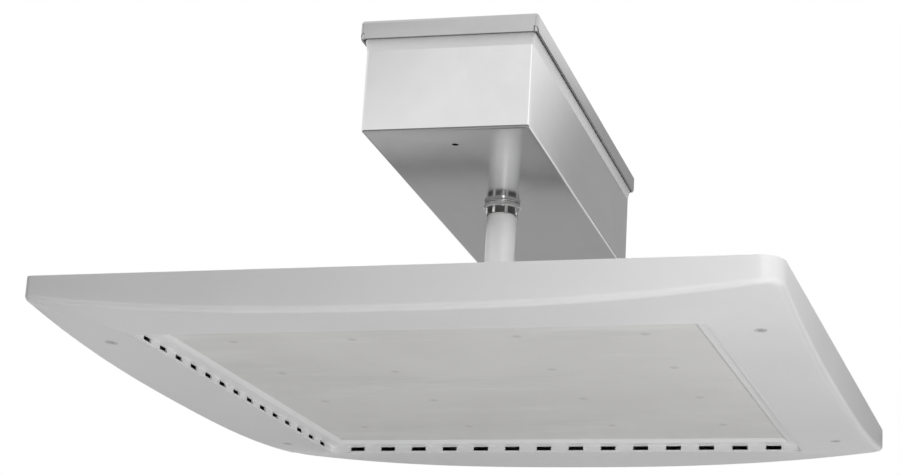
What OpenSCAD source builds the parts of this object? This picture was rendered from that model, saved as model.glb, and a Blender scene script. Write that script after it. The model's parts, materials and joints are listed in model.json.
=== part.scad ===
// Square canopy light: a shallow white lamp head, a wiring box above it and one pipe nipple between them.
// The origin is on the nipple's axis in the plane of the head's upper rim. +Z is up, the near side is -Y.

/* [Head cover] */
// Side of the square head
head_w = 480; // [460:1:560]
// Plan radius of the head's corners
head_corner_r = 12; // [8:1:34]
// Depth of the lower edge at the middle of a side
edge_depth = 28; // [26.5:0.5:40]
// How much the lower edge rises towards the corners
edge_rise = 13; // [4:0.5:15]
// How late the lower edge starts to rise along a side
edge_curve = 2.5; // [1.5:0.1:4]
// Radius of the rounded lower edge
edge_r = 4; // [3:0.5:11]
// Depth of the mouth of the lens recess
mouth_depth = 26; // [25:0.5:30]
// Thickness of the cover's sheet
cover_t = 1.5; // [1:0.1:2]
// Width of the cover's inward flange under the canopy
rim_flange_w = 24; // [20:1:30]

/* [Lens recess] */
// Width of the band between the head's side and the mouth of the recess
band_w = 52; // [47:0.5:56]
// Plan radius of the recess corners
mouth_r = 6; // [4:0.5:12]
// Thickness of the lens frame's upright wall
frame_wall = 1.5; // [1.2:0.1:2.2]
// Width of the lens frame's ledge
ledge_w = 14; // [12:0.5:18]
// Height of the vented lip below the ledge
lip_h = 5; // [4.5:0.1:6]
// Thickness of the ledge
ledge_t = 2.5; // [2:0.1:3]
// Slope width of the ledge's inner edge
ledge_slope = 3.5; // [1:0.5:5]
// Thickness of the lens
lens_t = 2.5; // [2:0.1:3]
// Overlap of the lens on its ledge
lens_overlap = 4; // [3:0.5:5]
// Thickness of the lens's gasket
lens_gasket_t = 3; // [2.5:0.1:3.5]

/* [Vent slots] */
// Distance between slots
slot_pitch = 25.4; // [20:0.2:26]
// Length of a slot
slot_l = 11.7; // [6:0.1:14]
// Height of a slot
slot_h = 3.2; // [2:0.1:3.4]
// Distance of the slots below the ledge
slot_drop = 0.35; // [0.2:0.05:0.6]

/* [Inside the head] */
// Thickness of the back plate
back_t = 1.5; // [1:0.1:2.5]
// Thickness of the heat sink's plate
sink_t = 3; // [2:0.1:3.5]
// Number of heat sink fins
fin_count = 24; // [8:2:30]
// Thickness of a fin
fin_t = 1.6; // [1:0.1:2]
// Gap between the fins and the back plate
fin_gap = 1.2; // [0.6:0.1:2]
// Gap between the LED boards across
board_gap_x = 39.5; // [28:0.5:60]
// Gap between the LED boards along
board_gap_y = 15; // [8:0.5:40]
// Distance of the LED boards from the near and far edges of the lens opening
board_end = 6.25; // [1:0.25:20]
// Thickness of an LED board
board_t = 1.6; // [1:0.1:2]
// Distance between the board screws across
board_hole_x = 83; // [60:1:100]
// Distance between the board screws along
board_hole_y = 88; // [60:1:100]
// LED chips on a side of each board
chip_rows = 6; // [3:1:8]
// Side of an LED chip
chip_w = 5; // [3:0.5:6]
// Height of an LED chip
chip_h = 0.7; // [0.5:0.1:0.8]

/* [Cover screws] */
// Distance of the cover screws from the head's left and right sides
cover_screw_inset = 25.5; // [20:0.5:31]
// Distance of the cover screws from the head's near and far sides
cover_screw_setback = 79.5; // [60:0.5:110]
// Radius of a cover screw's head
cover_screw_r = 4; // [3.4:0.1:4.6]

/* [Nipple] */
// Outer radius of the nipple
pipe_r = 10.65; // [8:0.05:13.3]
// Wall thickness of the nipple
pipe_wall = 2.75; // [2:0.05:3.5]
// How far the nipple reaches into the wiring box
pipe_above = 16; // [14:0.5:20]
// Radial clearance between the nipple and the parts that turn on it
run_gap = 0.05; // [0.02:0.01:0.1]
// Rim width of a locknut
nut_rim = 2.55; // [2.2:0.05:4]
// Thickness of a locknut
nut_t = 3.6; // [2.5:0.1:5]
// Lugs on a locknut
nut_lugs = 6; // [4:1:8]
// Thickness of the flange on the locknut under the wiring box
collar_t = 2.4; // [1.8:0.1:4]
// Lugs on the skirt below that flange
skirt_lugs = 8; // [6:1:10]
// Height of the skirt
skirt_h = 4.9; // [3:0.1:6]
// Wall thickness of the skirt between its lugs
skirt_wall = 0.5; // [0.4:0.05:0.7]
// Reach of the skirt's lugs from the nut's bore
skirt_lug_reach = 1.3; // [1:0.05:2]
// Width of a skirt lug
skirt_lug_w = 1.8; // [1.2:0.1:3]
// Thickness of the sealing washer
washer_t = 0.8; // [0.6:0.1:2]
// Gap between a clamping face and the wiring box
clamp_gap = 0.2; // [0.1:0.05:0.3]

/* [Hub] */
// Radius of the hub's flange
hub_r = 40; // [37:1:50]
// Thickness of the hub's flange
hub_t = 4; // [3:0.5:6]
// Height of the hub above the back plate
hub_h = 16; // [12:0.5:22]
// Wall thickness of the hub's neck
hub_wall = 6.35; // [4:0.05:8]
// Radius of the hub's screw circle
hub_screw_circle = 30; // [28:0.5:33]

/* [Wiring box] */
// Width of the box
box_w = 113; // [110:1:130]
// Height of the box without its lid
box_h = 74; // [70:1:90]
// Height of the box's underside above the head's rim
box_z = 114; // [80:1:160]
// Offset of the box's centre from the nipple along its length
box_shift = 5.5; // [0:0.5:20]
// Turn of the box on the nipple
box_turn = 2.2; // [-10:0.1:10]
// Sheet thickness of the box and lid
sheet_t = 1.5; // [1:0.1:2]
// Outer bend radius of the box
bend_r = 2.5; // [2.2:0.1:4]
// Width of the inward flange round the top of the box
box_flange_w = 12; // [10:0.5:14]
// Distance of the fixing holes from the box's ends
fix_inset = 29; // [24:0.5:36]
// Radius of a fixing hole
fix_r = 2.2; // [1.5:0.1:3]
// Radius of the supply knockout
knock_r = 11.1; // [8:0.1:14]

/* [Lid] */
// Depth of the lid's turned-down flanges
lid_flange = 13; // [10:0.1:18]
// Reach of the lid past the box
lid_reach = 3.8; // [3:0.1:7]
// Chamfer on the ends of the long flanges
lid_chamfer = 4; // [2:0.5:6]
// Thickness of the lid's gasket
lid_gasket_t = 2; // [1:0.1:3]

/* [Driver] */
// Length of the LED driver
driver_l = 229; // [180:1:260]
// Width of the LED driver
driver_w = 67; // [50:1:72]
// Height of the LED driver
driver_h = 37; // [28:1:40]
// Height of the driver's bracket
bracket_h = 24; // [22:0.5:26]
// Room in the box at each end of the driver
end_room = 50; // [46:0.5:64]

/* [Hidden] */
$fn = 48;
eps = 0.01;

// Colours
white_paint = [0.90, 0.90, 0.89];
frosted = [0.86, 0.86, 0.85];
satin_grey = [0.70, 0.71, 0.71];
zinc = [0.62, 0.63, 0.62];
foam_black = [0.13, 0.13, 0.14];
mill_aluminium = [0.74, 0.75, 0.76];

// Head levels, measured down from the rim plane
head_half = head_w / 2;
mouth_half = head_half - band_w;
mouth_w = 2 * mouth_half;
seam = 0.15;
cover_mouth_half = mouth_half + seam;
cover_mouth_r = mouth_r + seam;
rim_flange_half = head_half - rim_flange_w;
rim_flange_r = max(head_corner_r - rim_flange_w, 3);
side_steps = 16;
corner_steps = 6;
round_steps = 5;
ledge_depth = mouth_depth - lip_h;
ledge_top = -(ledge_depth - ledge_t);
slot_count = floor((mouth_w - 2 * mouth_r - slot_l) / slot_pitch) + 1;
lens_half = mouth_half - ledge_w + lens_overlap;
lens_corner_r = 3;
lens_top = ledge_top + lens_t;
gasket_slack = 0.5;
sink_bottom = lens_top + lens_gasket_t;
sink_top = sink_bottom + sink_t;
back_top = -cover_t;
back_bottom = back_top - back_t;
back_play = 1.2;
back_half = head_half - cover_t - back_play;
back_corner_r = head_corner_r - cover_t - back_play;
sink_half = mouth_half + 3;
fin_h = back_bottom - fin_gap - sink_top;
fin_clear_r = hub_r + 6;
chip_top = sink_bottom - board_t;
board_edge = lens_half - lens_overlap - 0.25;
board_x = board_edge - board_gap_x / 2;
board_y = board_edge - board_end - board_gap_y / 2;
board_cx = (board_gap_x + board_x) / 2;
board_cy = (board_gap_y + board_y) / 2;
board_screw_head_r = 2.5;
lens_play = 0.2;
board_screw_head_h = lens_gasket_t - board_t - lens_play;
chip_margin = 10;
lead_x = 24;
lead_hole_r = 4;
canopy_gasket_t = 3;
canopy_gasket_inset = 11;
canopy_gasket_w = rim_flange_w - canopy_gasket_inset - 3;
canopy_gasket_r = max(head_corner_r - canopy_gasket_inset, 2);
cover_screw_x = head_half - cover_screw_inset;
cover_screw_y = head_half - cover_screw_setback;
cover_head_rim = 0.3;
cover_head_h = cover_t + cover_head_rim;
cover_play = 0.1;
cover_screw_grip = 8;
post_r = 5;
post_gap = 0.4;
screw_r = 2;
thread_r = 1.5;
shank_play = 0.05;
boss_r = 2.9;
frame_screw_line = mouth_half - frame_wall - boss_r - 1;
frame_screw_end = 72;
frame_screw_step = mouth_half - frame_screw_end;
frame_screw_head_r = 2.8;
frame_screw_bite = 6;
fin_edge = sink_half - frame_screw_line + frame_screw_head_r + fin_t / 2 + 1;
fin_end = 2 * fin_edge;
standoff_r = 4.5;
standoff_x = sink_half - 42;
standoff_y = sink_half - 27;
sink_screw_l = 9;

// Nipple levels
pipe_bore_r = pipe_r - pipe_wall;
pipe_edge = 0.8;
pipe_hole_r = pipe_r + run_gap;
nut_r = pipe_r + nut_rim;
hub_neck_r = pipe_r + hub_wall;
hub_gasket_t = 1;
hub_base = back_top + hub_gasket_t;
hub_top = back_top + hub_h;
pipe_bottom = back_bottom;
box_floor = box_z + sheet_t;
pipe_top = box_floor + pipe_above;
washer_top = box_z - clamp_gap;
washer_bottom = washer_top - washer_t;
lower_nut_top = washer_bottom - clamp_gap / 2;
upper_nut_bottom = box_floor + clamp_gap;
bushing_t = 7;
bushing_lip = 1.8;
bushing_bottom = pipe_top - bushing_t + bushing_lip;
bushing_r = pipe_r + 2.35;
hub_screw_count = 4;

// Box levels
box_inner_w = box_w - 2 * sheet_t;
box_inner_l = driver_l + 2 * end_room;
box_l = box_inner_l + 2 * sheet_t;
fix_y = box_l / 2 - fix_inset;
bend_inner = bend_r - sheet_t;
box_top = box_z + box_h;
lid_under = box_top + lid_gasket_t;
lid_top = lid_under + sheet_t;
lid_w = box_w + 2 * lid_reach;
lid_l = box_l + 2 * lid_reach;
lid_screw_x = box_w / 2 - box_flange_w / 2;
lid_screw_y = box_l / 2 - 46;
driver_base = box_floor + bracket_h;
bracket_t = 1.5;
bracket_foot = 10;
bracket_w = driver_w + 6;
bracket_l = driver_l + 4;
bracket_foot_x = (bracket_w + bracket_foot) / 2;
bracket_screw_y = bracket_l / 2 - 14;
bracket_hole_r = pipe_r + 1.35;
ear_l = 7;
ear_t = 3;
driver_core = driver_l - 2 * ear_l;
stud_nut_h = 3;
fix_room = 7;
side_x = (box_inner_w / 2 + fix_room) / 2;
surge_w = 27;
surge_l = end_room - 10;
surge_h = 28;
surge_ear = 8.5;
surge_ear_t = 2.5;
surge_ear_x = (surge_w + surge_ear) / 2;
surge_y = -(box_inner_l - end_room) / 2;
block_l = 42;
block_w = 20;
block_h = 17;
block_y = (box_inner_l - end_room) / 2 - 8;
block_hole_x = block_l / 2 - 3.6;
block_poles = 4;
pole_pitch = 7;
pole_w = 5;
pole_z = 4;
clamp_h = 5.8;
knock_z = box_floor + 42;
score_w = 0.6;
score_depth = 0.6;

// Depth of the cover's lower edge where the corner-wise place along the side is m
function edge_at(m) = edge_depth - edge_rise * pow(abs(m) / head_half, edge_curve);

// One round of places about a rounded square: [x, y, normal angle, place along the side]
function ring_places(half, r) = [
    for (q = [0:3]) each [
        for (i = [0:side_steps - 1])
            let (s = (2 * i / side_steps - 1) * (half - r))
            turned(q, half, s, 0, s),
        for (j = [0:corner_steps - 1])
            let (a = 90 * j / corner_steps)
            turned(q, half - r + r * cos(a), half - r + r * sin(a), a, half - r + r / 2 * sin(2 * a))
    ]
];
function turned(q, x, y, a, m) = [
    x * cos(90 * q) - y * sin(90 * q),
    x * sin(90 * q) + y * cos(90 * q),
    a + 90 * q,
    m
];

// Section of the cover at one place: points run down the outside, in to the mouth and back up the inside,
// from place o on the side's outline to place c on the mouth's and back to place f on the rim flange's
function cover_section(o, c, f) =
    let (
        depth = edge_at(o[3]),
        n = [cos(o[2]), sin(o[2])],
        p = [o[0], o[1]],
        run = norm(p - [c[0], c[1]]),
        slope = atan2(depth - mouth_depth, run),
        turn = 90 + slope,
        tangent = edge_r * tan(turn / 2),
        wall_end = -(depth - tangent),
        inner_r = edge_r - cover_t
    )
    [
        [p.x, p.y, 0],
        for (k = [0:round_steps])
            let (a = turn * k / round_steps, at = p - n * edge_r * (1 - cos(a)))
            [at.x, at.y, wall_end - edge_r * sin(a)],
        [c[0], c[1], -mouth_depth],
        [c[0], c[1], -mouth_depth + cover_t],
        for (k = [0:round_steps])
            let (a = turn * (1 - k / round_steps), at = p - n * (edge_r - inner_r * cos(a)))
            [at.x, at.y, wall_end - inner_r * sin(a)],
        [p.x - n.x * cover_t, p.y - n.y * cover_t, -cover_t],
        [f[0], f[1], -cover_t],
        [f[0], f[1], 0]
    ];

// Closed skin through rows of points that run round in a ring, each row being a closed section
module ring_skin(rows) {
    n = len(rows);
    k = len(rows[0]);
    polyhedron(
        points = [for (row = rows) each row],
        faces = [
            for (i = [0:n - 1], j = [0:k - 1])
                let (
                    a = i * k + j,
                    b = i * k + (j + 1) % k,
                    c = ((i + 1) % n) * k + (j + 1) % k,
                    d = ((i + 1) % n) * k + j
                )
                each [[a, b, c], [a, c, d]]
        ],
        convexity = 6
    );
}

// Square with rounded corners, centred
module round_square(w, l, r) {
    square([w - 2 * r, l], center = true);
    square([w, l - 2 * r], center = true);
    for (x = [-1, 1], y = [-1, 1])
        translate([x * (w / 2 - r), y * (l / 2 - r)])
            circle(r);
}

// Flat ring between two rounded squares
module square_ring(w, l, r, band, h) {
    linear_extrude(h)
        difference() {
            round_square(w, l, r);
            round_square(w - 2 * band, l - 2 * band, max(r - band, 1));
        }
}

// Block on z = 0 with round upright corners and round lower edges, as a folded sheet has
module folded_block(w, l, h, r) {
    translate([0, 0, r])
        linear_extrude(h - r)
            round_square(w, l, r);
    linear_extrude(r + eps)
        square([w - 2 * r, l - 2 * r], center = true);
    for (x = [-1, 1])
        translate([x * (w / 2 - r), 0, r])
            rotate([90, 0, 0])
                cylinder(r = r, h = l - 2 * r, center = true);
    for (y = [-1, 1])
        translate([0, y * (l / 2 - r), r])
            rotate([0, 90, 0])
                cylinder(r = r, h = w - 2 * r, center = true);
    at_corners(w / 2 - r, l / 2 - r)
        translate([0, 0, r])
            sphere(r);
}

// Hole through a sheet of thickness t that lies on z = 0
module through(r, t) {
    translate([0, 0, -1])
        cylinder(r = r, h = t + 2);
}

// Pan-head screw with its head on z = 0 and its shank below
module pan_screw(head_r, head_h, shank_r, shank_l) {
    rim_h = head_h * 0.6;
    crown_r = head_r * 0.7;
    socket_r = head_r * 0.45;
    socket_z = head_h * 0.45;
    difference() {
        union() {
            cylinder(r = head_r, h = rim_h);
            translate([0, 0, rim_h])
                cylinder(r1 = head_r, r2 = crown_r, h = head_h - rim_h);
            translate([0, 0, -shank_l])
                cylinder(r = shank_r - shank_play, h = shank_l + eps);
        }
        translate([0, 0, socket_z])
            cylinder(r = socket_r, h = head_h, $fn = 6);
    }
}

// Conduit locknut with its lugs, standing on z = 0
module locknut() {
    lug_h = 1.3;
    notch_angle = 38;
    far_x = 2 * nut_r;
    far_y = far_x * tan((360 / nut_lugs - notch_angle) / 2);
    difference() {
        union() {
            cylinder(r = nut_r - lug_h, h = nut_t);
            for (i = [0:nut_lugs - 1])
                rotate(i * 360 / nut_lugs)
                    linear_extrude(nut_t)
                        intersection() {
                            circle(nut_r);
                            polygon([[0, 0], [far_x, -far_y], [far_x, far_y]]);
                        }
        }
        through(pipe_hole_r, nut_t);
    }
}

// Place children at the four corners of a rectangle
module at_corners(x, y) {
    for (i = [-1, 1], j = [-1, 1])
        translate([i * x, j * y, 0])
            children();
}

// The box's own place on the nipple
module on_box() {
    rotate(box_turn)
        translate([0, box_shift, 0])
            children();
}

// Depth of the cover's outer face under a place on the side band
function cover_face(x, y) =
    let (
        t = (x - cover_mouth_half) / (head_half - cover_mouth_half),
        mouth_reach = cover_mouth_half - cover_mouth_r,
        side_reach = head_half - head_corner_r,
        d = edge_at(y * side_reach / (mouth_reach + (side_reach - mouth_reach) * t))
    )
    -(mouth_depth + (d - mouth_depth) * t);

cover_screw_z = cover_face(cover_screw_x, cover_screw_y);

module head_cover() {
    outer = ring_places(head_half, head_corner_r);
    inner = ring_places(cover_mouth_half, cover_mouth_r);
    flange = ring_places(rim_flange_half, rim_flange_r);
    color(white_paint)
        difference() {
            ring_skin([for (i = [0:len(outer) - 1]) cover_section(outer[i], inner[i], flange[i])]);
            at_corners(cover_screw_x, cover_screw_y)
                translate([0, 0, cover_screw_z])
                    countersunk(cover_play, 2);
        }
}

// Countersunk head and shank on z = 0, wider than the screw by play, with its rim drawn out below
module countersunk(play, rim_out) {
    translate([0, 0, -rim_out])
        cylinder(r = cover_screw_r + play, h = cover_head_rim + rim_out);
    translate([0, 0, cover_head_rim])
        cylinder(r1 = cover_screw_r + play, r2 = screw_r + play, h = cover_head_h - cover_head_rim);
    cylinder(r = screw_r + play - shank_play, h = cover_head_h + cover_screw_grip);
}

// Flush screws that hold the cover up to its posts
module cover_screws() {
    socket_r = cover_screw_r * 0.45;
    socket_h = 1.2;
    color(white_paint)
        at_corners(cover_screw_x, cover_screw_y)
            translate([0, 0, cover_screw_z])
                difference() {
                    countersunk(0, 0);
                    translate([0, 0, -eps])
                        cylinder(r = socket_r, h = socket_h, $fn = 6);
                }
}

module cover_posts() {
    foot = cover_screw_z + cover_head_h + post_gap;
    color(mill_aluminium)
        at_corners(cover_screw_x, cover_screw_y)
            difference() {
                translate([0, 0, foot])
                    cylinder(r = post_r, h = back_bottom - foot);
                translate([0, 0, foot - 1])
                    cylinder(r = screw_r, h = cover_screw_grip + 3);
            }
}

// Row of slot cutters through one wall of the recess
module slot_row() {
    first = -(slot_count - 1) / 2 * slot_pitch;
    slot_z = -ledge_depth - slot_drop - slot_h / 2;
    for (i = [0:slot_count - 1])
        translate([first + i * slot_pitch, mouth_half - frame_wall / 2, slot_z])
            cube([slot_l, frame_wall + 1, slot_h], center = true);
}

// Frame that carries the lens: an upright vented wall, a ledge and bosses for its screws
module lens_frame() {
    opening = mouth_half - ledge_w;
    ledge_side = mouth_w - frame_wall;
    ledge_r = mouth_r - frame_wall / 2;
    thread_start = 1;
    color(white_paint)
        difference() {
            union() {
                translate([0, 0, -mouth_depth])
                    square_ring(mouth_w, mouth_w, mouth_r, frame_wall, mouth_depth + sink_bottom);
                translate([0, 0, -ledge_depth])
                    square_ring(ledge_side, ledge_side, ledge_r, ledge_w - frame_wall / 2, ledge_t);
                frame_screw_places()
                    translate([0, 0, -ledge_depth + eps])
                        cylinder(r = boss_r, h = ledge_depth + sink_bottom - eps);
            }
            ledge_slope_cut(opening);
            for (q = [0:3])
                rotate(90 * q)
                    slot_row();
            frame_screw_places()
                translate([0, 0, -ledge_depth + thread_start])
                    cylinder(r = thread_r, h = ledge_depth);
        }
}

// Sloped inner edge of the ledge: wide below, narrow above
module ledge_slope_cut(opening) {
    wide = opening + ledge_slope;
    low = -ledge_depth - 1;
    section = [
        [-wide - ledge_slope / ledge_t, low],
        [wide + ledge_slope / ledge_t, low],
        [opening - ledge_slope / ledge_t, ledge_top + 1],
        [-opening + ledge_slope / ledge_t, ledge_top + 1]
    ];
    intersection() {
        rotate([90, 0, 0])
            linear_extrude(2 * mouth_w, center = true)
                polygon(section);
        rotate([90, 0, 90])
            linear_extrude(2 * mouth_w, center = true)
                polygon(section);
    }
}

// Places of the screws that hold the lens frame
module frame_screw_places() {
    for (q = [0:3])
        rotate(90 * q)
            for (i = [-1:1])
                translate([i * frame_screw_step, frame_screw_line, 0])
                    children();
}

module frame_screws() {
    color(zinc)
        frame_screw_places()
            translate([0, 0, sink_top])
                pan_screw(frame_screw_head_r, 2, thread_r, sink_t + frame_screw_bite);
}

module lens() {
    color(frosted)
        translate([0, 0, ledge_top])
            linear_extrude(lens_t)
                round_square(2 * lens_half, 2 * lens_half, lens_corner_r);
}

module lens_gasket() {
    side = 2 * lens_half;
    color(foam_black)
        translate([0, 0, lens_top])
            square_ring(side, side, lens_corner_r, lens_overlap - gasket_slack, lens_gasket_t);
}

// Finned plate that carries the LED boards and closes the lens chamber from above
module heat_sink() {
    color(mill_aluminium)
        difference() {
            union() {
                translate([-sink_half, -sink_half, sink_bottom])
                    cube([2 * sink_half, 2 * sink_half, sink_t]);
                sink_fins();
                at_corners(standoff_x, standoff_y)
                    translate([0, 0, sink_top - eps])
                        cylinder(r = standoff_r, h = back_bottom - sink_top + eps);
            }
            translate([lead_x, 0, sink_bottom])
                through(lead_hole_r, sink_t);
            at_corners(standoff_x, standoff_y)
                translate([0, 0, sink_bottom + 1])
                    cylinder(r = screw_r, h = back_bottom - sink_bottom);
            frame_screw_places()
                translate([0, 0, sink_bottom])
                    through(thread_r + 0.2, sink_t);
            board_places()
                board_screw_places()
                    translate([0, 0, sink_bottom])
                        through(thread_r, sink_t);
        }
}

// Fins of the heat sink, cut back round the hub's screws and the standoffs
module sink_fins() {
    pitch = 2 * (sink_half - fin_edge) / (fin_count - 1);
    difference() {
        for (i = [0:fin_count - 1])
            translate([i * pitch - sink_half + fin_edge - fin_t / 2, fin_end - sink_half, sink_top - eps])
                cube([fin_t, 2 * (sink_half - fin_end), fin_h]);
        translate([0, 0, sink_top])
            cylinder(r = fin_clear_r, h = fin_h + 1);
        at_corners(standoff_x, standoff_y)
            translate([0, 0, sink_top])
                cylinder(r = standoff_r + 3, h = fin_h + 1);
    }
}

module board_places() {
    at_corners(board_cx, board_cy)
        children();
}

module board_screw_places() {
    at_corners(board_hole_x / 2, board_hole_y / 2)
        children();
}

// One LED board, on the side of the head that x and y give
module led_board(x, y) {
    color([0.93, 0.93, 0.90])
        translate([x * board_cx, y * board_cy, chip_top])
            difference() {
                linear_extrude(board_t)
                    round_square(board_x, board_y, 2);
                board_screw_places()
                    through(thread_r + 0.1, board_t);
            }
}

module led_board_1() { led_board(-1, -1); }
module led_board_2() { led_board(1, -1); }
module led_board_3() { led_board(-1, 1); }
module led_board_4() { led_board(1, 1); }

// All LED chips, in a grid that leaves out the places of the board screws
module led_chips() {
    step_x = (board_x - 2 * chip_margin) / (chip_rows - 1);
    step_y = (board_y - 2 * chip_margin) / (chip_rows - 1);
    middle = (chip_rows - 1) / 2;
    reach = chip_w / 2 + board_screw_head_r + 0.3;
    color([0.95, 0.86, 0.45])
        board_places()
            for (i = [0:chip_rows - 1], j = [0:chip_rows - 1])
                let (
                    x = (i - middle) * step_x,
                    y = (j - middle) * step_y,
                    near_x = abs(abs(x) - board_hole_x / 2),
                    near_y = abs(abs(y) - board_hole_y / 2)
                )
                if (max(near_x, near_y) > reach)
                    translate([x, y, chip_top - chip_h / 2])
                        cube([chip_w, chip_w, chip_h], center = true);
}

module board_screws() {
    color(zinc)
        board_places()
            board_screw_places()
                translate([0, 0, chip_top])
                    mirror([0, 0, 1])
                        pan_screw(board_screw_head_r, board_screw_head_h, thread_r, board_t + sink_t - 0.5);
}

// Plug-in connector beside the hole where the leads from the nipple go down to the boards
module head_connector() {
    plug = [14, 22, 6.5];
    socket_r = 1.6;
    socket_step = 5;
    color([0.92, 0.92, 0.88])
        translate([lead_x + lead_hole_r + 1, -plug.y / 2, sink_top])
            difference() {
                cube(plug);
                for (i = [-1, 1])
                    translate([-1, plug.y / 2 + i * socket_step, plug.z / 2])
                        rotate([0, 90, 0])
                            cylinder(r = socket_r, h = 9);
            }
}

module back_plate() {
    color(mill_aluminium)
        translate([0, 0, back_bottom])
            difference() {
                linear_extrude(back_t)
                    round_square(2 * back_half, 2 * back_half, back_corner_r);
                through(pipe_r + 1, back_t);
                hub_screw_places()
                    through(screw_r, back_t);
                at_corners(standoff_x, standoff_y)
                    through(screw_r + 0.2, back_t);
            }
}

module sink_screws() {
    color(zinc)
        at_corners(standoff_x, standoff_y)
            translate([0, 0, back_top])
                pan_screw(3.6, 2.2, screw_r, sink_screw_l);
}

// Foam strip that seals the head against the canopy
module canopy_gasket() {
    w = head_w - 2 * canopy_gasket_inset;
    color(foam_black)
        square_ring(w, w, canopy_gasket_r, canopy_gasket_w, canopy_gasket_t);
}

module hub_gasket() {
    color(foam_black)
        translate([0, 0, back_top])
            difference() {
                cylinder(r = hub_r, h = hub_gasket_t);
                through(pipe_r + 1, hub_gasket_t);
                hub_screw_places()
                    through(screw_r + 0.3, hub_gasket_t);
            }
}

module hub_screw_places() {
    for (i = [0:hub_screw_count - 1])
        rotate(45 + i * 360 / hub_screw_count)
            translate([hub_screw_circle, 0, 0])
                children();
}

// Cast hub into which the nipple is screwed
module hub() {
    edge = 1;
    flare = 3;
    color(zinc)
        difference() {
            rotate_extrude()
                polygon([
                    [pipe_hole_r, hub_base],
                    [hub_r - edge, hub_base],
                    [hub_r, hub_base + edge],
                    [hub_r, hub_base + hub_t - edge],
                    [hub_r - edge, hub_base + hub_t],
                    [hub_neck_r + flare, hub_base + hub_t],
                    [hub_neck_r, hub_base + hub_t + flare],
                    [hub_neck_r, hub_top - edge],
                    [hub_neck_r - edge, hub_top],
                    [pipe_hole_r, hub_top]
                ]);
            hub_screw_places()
                translate([0, 0, hub_base])
                    through(screw_r + 0.3, hub_t);
        }
}

module hub_screws() {
    color(zinc)
        hub_screw_places()
            translate([0, 0, hub_base + hub_t])
                pan_screw(3.8, 2.6, screw_r, hub_t + hub_gasket_t + back_t + 2);
}

// Rigid pipe nipple that hangs the head and carries the leads
module nipple() {
    color([0.84, 0.84, 0.84])
        rotate_extrude()
            polygon([
                [pipe_bore_r, pipe_bottom],
                [pipe_r - pipe_edge, pipe_bottom],
                [pipe_r, pipe_bottom + pipe_edge],
                [pipe_r, pipe_top - pipe_edge],
                [pipe_r - pipe_edge, pipe_top],
                [pipe_bore_r, pipe_top]
            ]);
}

module hub_locknut() {
    color(zinc)
        translate([0, 0, hub_top])
            rotate(20)
                locknut();
}

module sealing_washer() {
    color(foam_black)
        translate([0, 0, washer_bottom])
            difference() {
                cylinder(r = nut_r - 0.7, h = washer_t);
                through(pipe_hole_r, washer_t);
            }
}

// Flanged locknut under the wiring box: a turned collar over a skirt with lugs for the spanner
module lower_locknut() {
    edge = 0.5;
    skirt_turn = 30.8;
    skirt_r = pipe_hole_r + skirt_wall;
    lug_r = pipe_hole_r + skirt_lug_reach;
    color(zinc)
        translate([0, 0, lower_nut_top - collar_t])
            difference() {
                union() {
                    rotate_extrude()
                        polygon([
                            [pipe_r, -skirt_h],
                            [skirt_r, -skirt_h],
                            [skirt_r, 0],
                            [nut_r - edge, 0],
                            [nut_r, edge],
                            [nut_r, collar_t - edge],
                            [nut_r - edge, collar_t],
                            [pipe_r, collar_t]
                        ]);
                    for (i = [0:skirt_lugs - 1])
                        rotate(skirt_turn + i * 360 / skirt_lugs)
                            translate([0, 0, -skirt_h])
                                skirt_lug(lug_r);
                }
                translate([0, 0, -skirt_h])
                    through(pipe_hole_r, skirt_h + collar_t);
            }
}

// One lug of the skirt, reaching to radius r from the nipple's axis
module skirt_lug(r) {
    linear_extrude(skirt_h + eps)
        intersection() {
            circle(r);
            translate([0, -skirt_lug_w / 2])
                square([r, skirt_lug_w]);
        }
}

module upper_locknut() {
    color(zinc)
        translate([0, 0, upper_nut_bottom])
            rotate(35)
                locknut();
}

// Plastic bushing that guards the leads at the nipple's upper end
module bushing() {
    color([0.15, 0.30, 0.62])
        rotate_extrude()
            polygon([
                [pipe_hole_r, bushing_bottom],
                [bushing_r, bushing_bottom],
                [bushing_r, pipe_top],
                [bushing_r - 1.2, pipe_top + bushing_lip],
                [pipe_bore_r, pipe_top + bushing_lip],
                [pipe_bore_r, pipe_top],
                [pipe_hole_r, pipe_top]
            ]);
}

// Folded tray of the wiring box
module box_body() {
    color(satin_grey)
        on_box()
            difference() {
                translate([0, 0, box_z])
                    folded_block(box_w, box_l, box_h, bend_r);
                tray_inside();
                translate([0, -box_shift, box_z])
                    through(pipe_hole_r, sheet_t);
                for (y = [-1, 1])
                    translate([0, y * fix_y, box_z])
                        through(fix_r, sheet_t);
                translate([0, box_inner_l / 2, knock_z])
                    rotate([-90, 0, 0])
                        through(knock_r, sheet_t);
                at_corners(lid_screw_x, lid_screw_y)
                    translate([0, 0, box_top - sheet_t])
                        through(screw_r, sheet_t);
                for (y = [-1, 1])
                    translate([-box_w / 2, y * box_l / 4, knock_z])
                        rotate([0, 90, 0])
                            knockout_score();
            }
}

// Scored ring of an unused knockout, cut part way through the sheet
module knockout_score() {
    difference() {
        translate([0, 0, -1])
            cylinder(r = knock_r, h = 1 + score_depth);
        translate([0, 0, -2])
            cylinder(r = knock_r - score_w, h = 3 + score_depth);
    }
}

// Room inside the tray and the mouth in its inward top flange
module tray_inside() {
    translate([0, 0, box_floor])
        linear_extrude(box_h - 2 * sheet_t)
            round_square(box_inner_w, box_inner_l, bend_inner);
    translate([0, 0, box_floor])
        linear_extrude(box_h)
            round_square(box_w - 2 * box_flange_w, box_l - 2 * box_flange_w, 2);
}

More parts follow.
